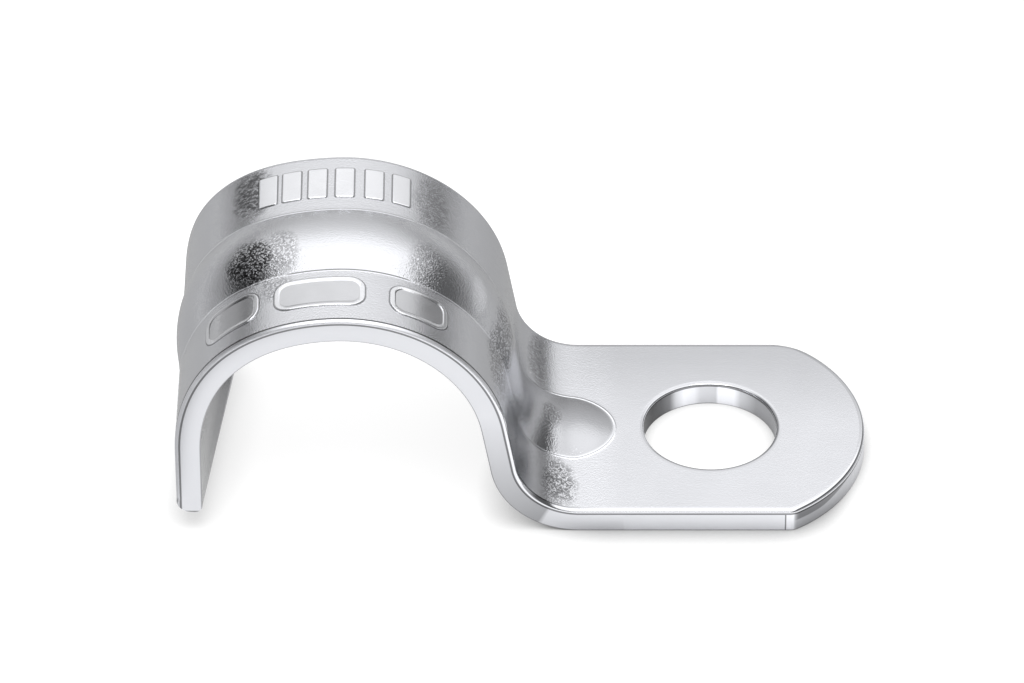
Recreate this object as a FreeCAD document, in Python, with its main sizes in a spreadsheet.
"""One-hole conduit strap: a single stamped and formed sheet, built as a parametric document.

Millimetres. The origin is the centre of the fixing hole on the mounting face,
+Z points out of the wall, +Y runs along the conduit and the saddle lies at -X.
"""
import FreeCAD, Part
import math
import os

import Sketcher
from FreeCAD import Placement, Rotation, Vector

# Driving sizes, each written once
SIZES = {
    "sheet_gauge": ("1.65", "thickness of the steel sheet"),
    "strap_width": ("17.0", "width of the strap along the conduit"),
    "conduit_radius": ("9.0", "inside radius of the saddle"),
    "conduit_offset": ("23.6", "from the fixing hole to the conduit axis"),
    "conduit_height": ("6.55", "conduit axis above the mounting face"),
    "flank_angle": ("80.0", "turn of the saddle from its crown to the flank, degrees"),
    "bend_radius": ("4.1", "radius of the bend on its hollow side"),
    "hole_radius": ("4.3", "radius of the fixing hole"),
    "end_radius": ("10.0", "radius of the rounded end, centred on the hole"),
    "leg_drop": ("5.0", "free leg below the conduit axis"),
    "leg_hug": ("0.95", "share of the conduit's curve that the leg follows at its back"),
    "leg_corner": ("0.4", "rounding of the free leg's tip"),
    "rib_width": ("6.1", "width of the pressed rib"),
    "rib_shift": ("0.2", "offset of the rib's middle towards the front edge"),
    "rib_height": ("0.55", "height of the pressed rib"),
    "rib_turn": ("62.0", "angle from the crown where the rib starts to fade, degrees"),
    "rib_fade_radius": ("6.5", "radius of the path on which the rib fades"),
    "hollow_fade_radius": ("6.2", "radius on which the hollow under the rib fades"),
    "rib_nose_slope": ("12.0", "slope of the rib's nose on the tab, degrees"),
    "front_corner": ("0.9", "rounding where the front side meets the rounded end"),
    "back_corner": ("4.0", "rounding where the back side meets the rounded end"),
    "edge_rollover": ("0.25", "rounding that the press leaves on outer edges"),
}

# How far a cut reaches past the face that it opens
REACH = 3.0
GROOVE_ROOT = 1.0
# Share of the gauge by which the rib is rooted in the sheet, and how deep its ends dip
RIB_ROOT = 0.35
RIB_SINK = 0.1
# Angle in degrees at which the fading rib starts, round its own centre
RIB_START = 200.0
# Distance within which a point counts as lying on a face
NEAR = 0.03

os.makedirs("parts", exist_ok=True)
doc = FreeCAD.newDocument("ConduitStrap")


def make_sheet():
    """Spreadsheet with one aliased cell for each driving size."""
    sheet = doc.addObject("Spreadsheet::Sheet", "Sizes")
    for row, (alias, (value, note)) in enumerate(SIZES.items(), start=1):
        sheet.set(f"A{row}", alias.replace("_", " "))
        sheet.set(f"B{row}", value)
        sheet.set(f"C{row}", note)
        sheet.setAlias(f"B{row}", alias)
    doc.recompute()
    return sheet


sheet = make_sheet()


def size(alias):
    """Value of one driving size."""
    return float(sheet.get(alias))


class Profile:
    """A sketch on one origin plane of a body, with sizes bound to the sheet."""

    def __init__(self, body, name, plane, offset=None):
        self.sketch = body.newObject("Sketcher::SketchObject", name)
        origin = body.Origin.OriginFeatures
        support = [feature for feature in origin if feature.Role == plane][0]
        self.sketch.AttachmentSupport = [(support, "")]
        self.sketch.MapMode = "FlatFace"
        if offset is not None:
            self.sketch.AttachmentOffset = offset

    def line(self, start, end):
        """Straight edge between two points."""
        return self.sketch.addGeometry(Part.LineSegment(Vector(*start, 0), Vector(*end, 0)))

    def arc(self, centre, radius, from_angle, to_angle):
        """Arc drawn anticlockwise between two angles in degrees."""
        circle = Part.Circle(Vector(*centre, 0), Vector(0, 0, 1), radius)
        arc = Part.ArcOfCircle(circle, math.radians(from_angle), math.radians(to_angle))
        return self.sketch.addGeometry(arc)

    def circle(self, centre, radius):
        """Full circle."""
        return self.sketch.addGeometry(Part.Circle(Vector(*centre, 0), Vector(0, 0, 1), radius))

    def rule(self, kind, *where):
        """Geometric constraint, such as Coincident or Tangent."""
        return self.sketch.addConstraint(Sketcher.Constraint(kind, *where))

    def bind(self, kind, *where, value, formula):
        """Dimension constraint that follows a formula of the sheet's sizes."""
        index = self.sketch.addConstraint(Sketcher.Constraint(kind, *where, value))
        self.sketch.setExpression(f"Constraints[{index}]", formula)
        return index


class Section:
    """Corner points of the strap's side view, worked out from the driving sizes."""

    def __init__(self):
        self.gauge = size("sheet_gauge")
        self.inner = size("conduit_radius")
        self.outer = self.inner + self.gauge
        self.bend = size("bend_radius")
        self.axis = (-size("conduit_offset"), size("conduit_height"))
        self.turn = 90 - size("flank_angle")
        along = math.radians(self.turn)
        self.out = (math.cos(along), math.sin(along))
        drop = self.axis[1] + (self.outer + self.bend) * self.out[1] - self.gauge - self.bend
        self.flank = drop / self.out[0]
        reach = (self.outer + self.bend) * self.out[0] + self.flank * self.out[1]
        self.bend_centre = (self.axis[0] + reach, self.gauge + self.bend)

    def saddle_point(self, radius):
        """End of the saddle on the flank side, at a radius from the conduit axis."""
        return (self.axis[0] + radius * self.out[0], self.axis[1] + radius * self.out[1])

    def bend_point(self, radius):
        """Start of the bend, at a radius from the bend's centre."""
        x, z = self.bend_centre
        return (x - radius * self.out[0], z - radius * self.out[1])

    def leg_shift(self, drop, depth):
        """How far the free leg leans in, at a drop below the axis and a depth along Y."""
        hug = self.inner - math.sqrt(max(self.inner ** 2 - drop ** 2, 0))
        return size("leg_hug") * hug * (depth / size("strap_width") + 0.5)


section = Section()


def make_strip(body):
    """Saddle, flank, bend and tab in one side view, padded to the strap's width."""
    view = Profile(body, "SideView", "XZ_Plane")
    end_x = size("end_radius") + REACH
    axis = section.axis
    foot_x = section.bend_centre[0]
    under = section.bend + section.gauge
    swing = 180 + section.turn
    saddle_top = view.arc(axis, section.outer, section.turn, 180)
    flank_top = view.line(section.bend_point(section.bend), section.saddle_point(section.outer))
    bend_top = view.arc(section.bend_centre, section.bend, swing, 270)
    tab_top = view.line((foot_x, section.gauge), (end_x, section.gauge))
    tab_end = view.line((end_x, section.gauge), (end_x, 0))
    tab_under = view.line((end_x, 0), (foot_x, 0))
    bend_under = view.arc(section.bend_centre, under, swing, 270)
    flank_under = view.line(section.bend_point(under), section.saddle_point(section.inner))
    saddle_under = view.arc(axis, section.inner, section.turn, 180)
    root = view.line((axis[0] - section.inner, axis[1]), (axis[0] - section.outer, axis[1]))

    view.rule("Tangent", saddle_top, 1, flank_top, 2)
    view.rule("Tangent", flank_top, 1, bend_top, 1)
    view.rule("Tangent", bend_top, 2, tab_top, 1)
    view.rule("Coincident", tab_top, 2, tab_end, 1)
    view.rule("Coincident", tab_end, 2, tab_under, 1)
    view.rule("Tangent", tab_under, 2, bend_under, 2)
    view.rule("Tangent", bend_under, 1, flank_under, 1)
    view.rule("Tangent", flank_under, 2, saddle_under, 1)
    view.rule("Coincident", saddle_under, 2, root, 1)
    view.rule("Coincident", root, 2, saddle_top, 2)
    view.rule("Coincident", saddle_top, 3, saddle_under, 3)
    view.rule("Coincident", bend_top, 3, bend_under, 3)
    view.rule("Horizontal", tab_top)
    view.rule("Horizontal", tab_under)
    view.rule("Horizontal", root)
    view.rule("Vertical", tab_end)
    view.rule("Horizontal", saddle_top, 3, root, 1)
    view.rule("PointOnObject", tab_under, 1, -1)
    view.bind("DistanceX", saddle_top, 3, -1, 1, value=-axis[0], formula="Sizes.conduit_offset")
    view.bind("DistanceY", -1, 1, saddle_top, 3, value=axis[1], formula="Sizes.conduit_height")
    view.bind("Radius", saddle_under, value=section.inner, formula="Sizes.conduit_radius")
    view.bind("Radius", saddle_top, value=section.outer,
              formula="Sizes.conduit_radius + Sizes.sheet_gauge")
    view.bind("Radius", bend_top, value=section.bend, formula="Sizes.bend_radius")
    view.bind("Radius", bend_under, value=under, formula="Sizes.bend_radius + Sizes.sheet_gauge")
    view.bind("Angle", flank_top, value=math.radians(90 + section.turn),
              formula="180 - Sizes.flank_angle")
    view.bind("DistanceX", -1, 1, tab_end, 1, value=end_x,
              formula=f"Sizes.end_radius + {REACH}")
    pad = body.newObject("PartDesign::Pad", "Strip")
    pad.Profile = view.sketch
    pad.SideType = "Symmetric"
    pad.setExpression("Length", "Sizes.strap_width")
    return pad


def leg_section(body, name, drop):
    """Cross-section of the free leg at a drop below the conduit axis."""
    level = Placement(Vector(0, 0, section.axis[1] - drop), Rotation())
    plan = Profile(body, name, "XY_Plane", level)
    plan.sketch.setExpression("AttachmentOffset.Base.z", f"Sizes.conduit_height - {drop}")
    half = size("strap_width") / 2
    lean = section.leg_shift(drop, half)
    outer_x = section.axis[0] - section.outer
    inner_x = section.axis[0] - section.inner
    front = plan.line((outer_x, -half), (inner_x, -half))
    inside = plan.line((inner_x, -half), (inner_x + lean, half))
    back = plan.line((inner_x + lean, half), (outer_x + lean, half))
    outside = plan.line((outer_x + lean, half), (outer_x, -half))
    for first, second in ((front, inside), (inside, back), (back, outside), (outside, front)):
        plan.rule("Coincident", first, 2, second, 1)
    plan.rule("Horizontal", front)
    plan.rule("Horizontal", back)
    plan.rule("Parallel", inside, outside)
    plan.bind("DistanceX", front, 1, front, 2, value=section.gauge, formula="Sizes.sheet_gauge")
    plan.bind("DistanceX", front, 2, -1, 1, value=-inner_x,
              formula="Sizes.conduit_offset + Sizes.conduit_radius")
    plan.bind("DistanceY", front, 2, -1, 1, value=half, formula="Sizes.strap_width / 2")
    plan.bind("DistanceY", -1, 1, back, 1, value=half, formula="Sizes.strap_width / 2")
    hug = f"(Sizes.conduit_radius - sqrt(Sizes.conduit_radius ^ 2 - {drop} ^ 2))"
    plan.bind("DistanceX", front, 2, back, 1, value=lean, formula=f"Sizes.leg_hug * {hug}")
    return plan.sketch


def make_leg(body):
    """Free leg: upright at the front, closing round the conduit towards the back."""
    drops = [0.0, size("leg_drop") / 2, size("leg_drop")]
    sections = [leg_section(body, f"LegSection{place}", drop) for place, drop in enumerate(drops)]
    loft = body.newObject("PartDesign::AdditiveLoft", "FreeLeg")
    loft.Profile = sections[0]
    loft.Sections = sections[1:]
    return loft


class RibPath:
    """Side-view path of the pressed rib, followed by its outer or inner face."""

    def __init__(self, depth):
        """Depth is how far the followed face lies inside the sheet's outer face."""
        self.depth = depth
        self.height = size("rib_height")
        self.fade = size("hollow_fade_radius" if depth else "rib_fade_radius")
        self.saddle = section.outer - depth
        self.bend = section.bend + depth
        self.slope = size("rib_nose_slope")
        self.fade_turn = 90 + size("rib_turn")
        turn = math.radians(self.fade_turn)
        back = self.saddle - self.fade
        self.fade_centre = (section.axis[0] + back * math.cos(turn),
                            section.axis[1] + back * math.sin(turn))
        self.start = self.on_fade(RIB_START)
        lift = (self.bend * (1 - math.cos(math.radians(self.slope)))
                + self.height * math.cos(math.radians(self.slope)))
        self.nose_length = (lift + RIB_SINK) / math.sin(math.radians(self.slope))

    def on_fade(self, angle):
        """Point of the fading arc at an angle in degrees."""
        turn = math.radians(angle)
        x, z = self.fade_centre
        return (x + self.fade * math.cos(turn), z + self.fade * math.sin(turn))

    def nose(self):
        """Start and end of the straight nose that dips into the tab."""
        slope = math.radians(self.slope)
        x, z = section.bend_centre
        start = (x - self.bend * math.sin(slope), z - self.bend * math.cos(slope))
        end = (start[0] + self.nose_length * math.cos(slope),
               start[1] - self.nose_length * math.sin(slope))
        return start, end

    def draw(self, body, name):
        """Path sketch from the fade on the leg side to the nose on the tab."""
        path = Profile(body, name, "XZ_Plane")
        swing = 180 + section.turn
        fade = path.arc(self.fade_centre, self.fade, self.fade_turn, RIB_START)
        over = path.arc(section.axis, self.saddle, section.turn, self.fade_turn)
        flank = path.line(section.bend_point(self.bend), section.saddle_point(self.saddle))
        bend = path.arc(section.bend_centre, self.bend, swing, 270 - self.slope)
        nose = path.line(*self.nose())
        path.rule("Tangent", fade, 1, over, 2)
        path.rule("Tangent", over, 1, flank, 2)
        path.rule("Tangent", flank, 1, bend, 1)
        path.rule("Tangent", bend, 2, nose, 1)

        inside = "Sizes.sheet_gauge" if self.depth else "0"
        saddle = f"(Sizes.conduit_radius + Sizes.sheet_gauge - {inside})"
        rounding = f"(Sizes.bend_radius + {inside})"
        fading = "Sizes.hollow_fade_radius" if self.depth else "Sizes.rib_fade_radius"
        lift = (f"{rounding} * (1 - cos(Sizes.rib_nose_slope))"
                " + Sizes.rib_height * cos(Sizes.rib_nose_slope)")
        fade_end = self.fade * math.sin(math.radians(RIB_START - 180))
        start_x = self.saddle * math.sin(math.radians(self.fade_turn - 90))
        path.bind("DistanceX", over, 3, -1, 1, value=-section.axis[0],
                  formula="Sizes.conduit_offset")
        path.bind("DistanceY", -1, 1, over, 3, value=section.axis[1],
                  formula="Sizes.conduit_height")
        path.bind("DistanceY", -1, 1, bend, 3, value=section.bend_centre[1],
                  formula="Sizes.bend_radius + Sizes.sheet_gauge")
        path.bind("Radius", over, value=self.saddle, formula=saddle)
        path.bind("Radius", fade, value=self.fade, formula=fading)
        path.bind("Radius", bend, value=self.bend, formula=rounding)
        path.bind("Angle", flank, value=math.radians(90 + section.turn),
                  formula="180 - Sizes.flank_angle")
        path.bind("Angle", nose, value=-math.radians(self.slope),
                  formula="-Sizes.rib_nose_slope")
        path.bind("Distance", nose, value=self.nose_length,
                  formula=f"({lift} + {RIB_SINK}) / sin(Sizes.rib_nose_slope)")
        path.bind("DistanceX", over, 2, over, 3, value=start_x,
                  formula=f"{saddle} * sin(Sizes.rib_turn)")
        path.bind("DistanceY", fade, 2, fade, 3, value=fade_end,
                  formula=f"{fading} * sin({RIB_START - 180})")
        return path.sketch

    def section_plane(self):
        """Placement of the rib's cross-section, square to the start of its path."""
        turn = math.radians(RIB_START)
        across = Vector(0, 1, 0)
        outward = Vector(math.cos(turn), 0, math.sin(turn))
        along = Vector(math.sin(turn), 0, -math.cos(turn))
        base = Vector(self.start[0], -size("rib_shift"), self.start[1])
        return Placement(base, Rotation(across, outward, along, "ZXY"))


def rib_section(body, name, path, radius, root, formula):
    """Flat arc that bulges outward, closed by a root below the followed face."""
    plan = Profile(body, name, "XY_Plane", path.section_plane())
    height = path.height
    half = math.sqrt(2 * radius * height - height ** 2)
    spread = math.degrees(math.asin(half / radius))
    crown = plan.arc((0, height - radius), radius, 90 - spread, 90 + spread)
    left = plan.line((-half, 0), (-half, -root))
    bottom = plan.line((-half, -root), (half, -root))
    right = plan.line((half, -root), (half, 0))
    plan.rule("Coincident", crown, 2, left, 1)
    plan.rule("Coincident", left, 2, bottom, 1)
    plan.rule("Coincident", bottom, 2, right, 1)
    plan.rule("Coincident", right, 2, crown, 1)
    plan.rule("Vertical", left)
    plan.rule("Vertical", right)
    plan.rule("Horizontal", bottom)
    plan.rule("PointOnObject", crown, 3, -2)
    plan.rule("PointOnObject", right, 2, -1)
    plan.rule("PointOnObject", left, 1, -1)
    plan.bind("Radius", crown, value=radius, formula=formula)
    plan.bind("DistanceY", crown, 3, -1, 1, value=radius - height,
              formula=f"{formula} - Sizes.rib_height")
    plan.bind("DistanceY", right, 1, -1, 1, value=root, formula=f"{root}")
    return plan.sketch


def make_rib(body):
    """Rib pressed outward over the saddle and through the bend, hollow underneath."""
    width = size("rib_width")
    height = size("rib_height")
    radius = (width ** 2 / 4 + height ** 2) / (2 * height)
    arc = "(Sizes.rib_width ^ 2 / 4 + Sizes.rib_height ^ 2) / (2 * Sizes.rib_height)"
    raised = RibPath(0)
    hollow = RibPath(section.gauge)
    pairs = (
        ("Rib", "PartDesign::AdditivePipe", raised, radius, RIB_ROOT * section.gauge, arc),
        ("Groove", "PartDesign::SubtractivePipe", hollow, radius - section.gauge, GROOVE_ROOT,
         f"({arc} - Sizes.sheet_gauge)"),
    )
    for name, kind, path, bulge, root, formula in pairs:
        spine = path.draw(body, f"{name}Path")
        profile = rib_section(body, f"{name}Section", path, bulge, root, formula)
        pipe = body.newObject(kind, name)
        pipe.Profile = profile
        pipe.Spine = (spine, [f"Edge{place}" for place in range(1, 6)])
        pipe.Mode = "Standard"
    return pipe


def trim_end(body):
    """Rounded end of the tab: everything beyond a half circle round the fixing hole is cut off."""
    plan = Profile(body, "EndOutline", "XY_Plane")
    radius = size("end_radius")
    far_x = radius + 2 * REACH
    far_y = max(radius, size("strap_width") / 2) + REACH
    corners = [(0, radius), (0, far_y), (far_x, far_y), (far_x, -far_y), (0, -far_y), (0, -radius)]
    arc = plan.arc((0, 0), radius, -90, 90)
    lines = [plan.line(start, end) for start, end in zip(corners, corners[1:])]
    back_step, back, far, front, front_step = lines
    plan.rule("Coincident", arc, 2, back_step, 1)
    for first, second in zip(lines, lines[1:]):
        plan.rule("Coincident", first, 2, second, 1)
    plan.rule("Coincident", front_step, 2, arc, 1)
    plan.rule("Coincident", arc, 3, -1, 1)
    for upright in (back_step, far, front_step):
        plan.rule("Vertical", upright)
    for level_edge in (back, front):
        plan.rule("Horizontal", level_edge)
    plan.rule("PointOnObject", arc, 1, -2)
    plan.rule("PointOnObject", arc, 2, -2)
    reach_y = f"max(Sizes.end_radius; Sizes.strap_width / 2) + {REACH}"
    plan.bind("Radius", arc, value=radius, formula="Sizes.end_radius")
    plan.bind("DistanceX", -1, 1, far, 1, value=far_x, formula=f"Sizes.end_radius + {2 * REACH}")
    plan.bind("DistanceY", -1, 1, far, 1, value=far_y, formula=reach_y)
    plan.bind("DistanceY", far, 2, -1, 1, value=far_y, formula=reach_y)
    return cut_through(body, plan, "RoundedEnd")


def cut_hole(body):
    """Round fixing hole through the tab."""
    plan = Profile(body, "HoleOutline", "XY_Plane")
    rim = plan.circle((0, 0), size("hole_radius"))
    plan.rule("Coincident", rim, 3, -1, 1)
    plan.bind("Radius", rim, value=size("hole_radius"), formula="Sizes.hole_radius")
    return cut_through(body, plan, "FixingHole")


def cut_through(body, plan, name):
    """Pocket that runs through the whole tab on both sides of the mounting plane."""
    pocket = body.newObject("PartDesign::Pocket", name)
    pocket.Profile = plan.sketch
    pocket.SideType = "Symmetric"
    pocket.setExpression("Length", f"2 * Sizes.sheet_gauge + {REACH}")
    return pocket


def level(point):
    """Height of a point through the sheet: 0 on the inner face, the gauge on the outer."""
    x, z = point.x, point.z
    axis_x, axis_z = section.axis
    bend_x, bend_z = section.bend_centre
    flank = section.saddle_point(section.inner)
    foot = section.bend_point(section.bend + section.gauge)
    if x < axis_x and z < axis_z:
        return axis_x - section.inner + section.leg_shift(axis_z - z, point.y) - x
    if x > bend_x:
        return z
    if (x - flank[0]) * section.out[1] - (z - flank[1]) * section.out[0] < 0:
        return math.hypot(x - axis_x, z - axis_z) - section.inner
    if (x - foot[0]) * section.out[1] - (z - foot[1]) * section.out[0] > 0:
        return section.bend + section.gauge - math.hypot(x - bend_x, z - bend_z)
    return (x - flank[0]) * section.out[0] + (z - flank[1]) * section.out[1]


def edge_points(edge):
    """Three points along an edge."""
    first, last = edge.ParameterRange
    return [edge.valueAt(first + share * (last - first)) for share in (0.1, 0.5, 0.9)]


def edges_where(shape, test):
    """Names of the edges whose sampled points all pass a test."""
    chosen = []
    for number, edge in enumerate(shape.Edges, start=1):
        if all(test(point) for point in edge_points(edge)):
            chosen.append(f"Edge{number}")
    return chosen


def near(value, target):
    """Whether two lengths agree to a small tolerance."""
    return abs(value - target) < NEAR


def round_edges(body, name, test, alias):
    """Fillet on the edges of the body's last feature that pass a test."""
    base = body.Tip
    edges = edges_where(base.Shape, test)
    fillet = body.newObject("PartDesign::Fillet", name)
    fillet.Base = (base, edges)
    fillet.setExpression("Radius", f"Sizes.{alias}")
    doc.recompute()
    return fillet


def on_side(point):
    """Whether a point lies on the front or back cut face."""
    return near(abs(point.y), size("strap_width") / 2)


def on_tip(point):
    """Whether a point lies on the cut end of the free leg."""
    return near(point.z, section.axis[1] - size("leg_drop")) and point.x < section.axis[0]


def on_outer(point):
    """Whether a point lies on the sheet's outer face."""
    return near(level(point), section.gauge)


def on_outer_rim(point):
    """Whether a point lies on the outer face's rim: a side, the rounded end or the hole."""
    from_hole = math.hypot(point.x, point.y)
    on_end = near(from_hole, size("end_radius")) and point.x > 0
    on_hole = near(from_hole, size("hole_radius"))
    return on_outer(point) and (on_side(point) or on_end or on_hole)


def on_end_corner(point, side):
    """Whether a point lies where the front side, -1, or the back one, 1, meets the rounded end."""
    on_end = near(math.hypot(point.x, point.y), size("end_radius"))
    return on_side(point) and on_end and point.y * side > 0


def dress_edges(body):
    """Rounded leg tip and end corners, then the soft rim that the press leaves outside."""
    round_edges(body, "LegTip", lambda point: on_tip(point) and on_outer(point), "leg_corner")
    round_edges(body, "FrontCorner", lambda point: on_end_corner(point, -1), "front_corner")
    round_edges(body, "BackCorner", lambda point: on_end_corner(point, 1), "back_corner")
    return round_edges(body, "Rollover", on_outer_rim, "edge_rollover")


def make_strap():
    """The whole strap as one body: strip, free leg, rib, outline, hole and edges."""
    body = doc.addObject("PartDesign::Body", "ConduitStrap")
    body.Label = "conduit_strap"
    body.Placement = Placement()
    make_strip(body)
    make_leg(body)
    doc.recompute()
    check_grows(body, "Rib", make_rib)
    check_shrinks(body, "RoundedEnd", trim_end)
    check_shrinks(body, "FixingHole", cut_hole)
    dress_edges(body)
    return body


def check_grows(body, name, make):
    """Add a feature and make sure that the body gained volume."""
    before = body.Shape.Volume
    make(body)
    doc.recompute()
    if body.Shape.Volume <= before:
        raise RuntimeError(f"{name} added nothing")


def check_shrinks(body, name, make):
    """Add a cut and make sure that the body lost volume."""
    before = body.Shape.Volume
    make(body)
    doc.recompute()
    if body.Shape.Volume >= before:
        raise RuntimeError(f"{name} cut nothing")


def check_document():
    """Stop if any object of the document failed to build."""
    for item in doc.Objects:
        if "Invalid" in item.State or "Error" in item.State:
            raise RuntimeError(f"{item.Name} failed: {item.State}")


def write_part(body):
    """Check the finished sub-part and write it as its own STEP file."""
    shape = body.Shape
    if shape.isNull() or not shape.isValid() or len(shape.Solids) != 1:
        raise RuntimeError(f"{body.Label} is not one valid solid")
    shape.exportStep(os.path.join("parts", f"{body.Label}.step"))
    box = shape.BoundBox
    print(f"{body.Label}: {box.XLength:.2f} x {box.YLength:.2f} x {box.ZLength:.2f} mm, "
          f"{shape.Volume:.0f} mm3")


strap = make_strap()
doc.recompute()
check_document()
write_part(strap)
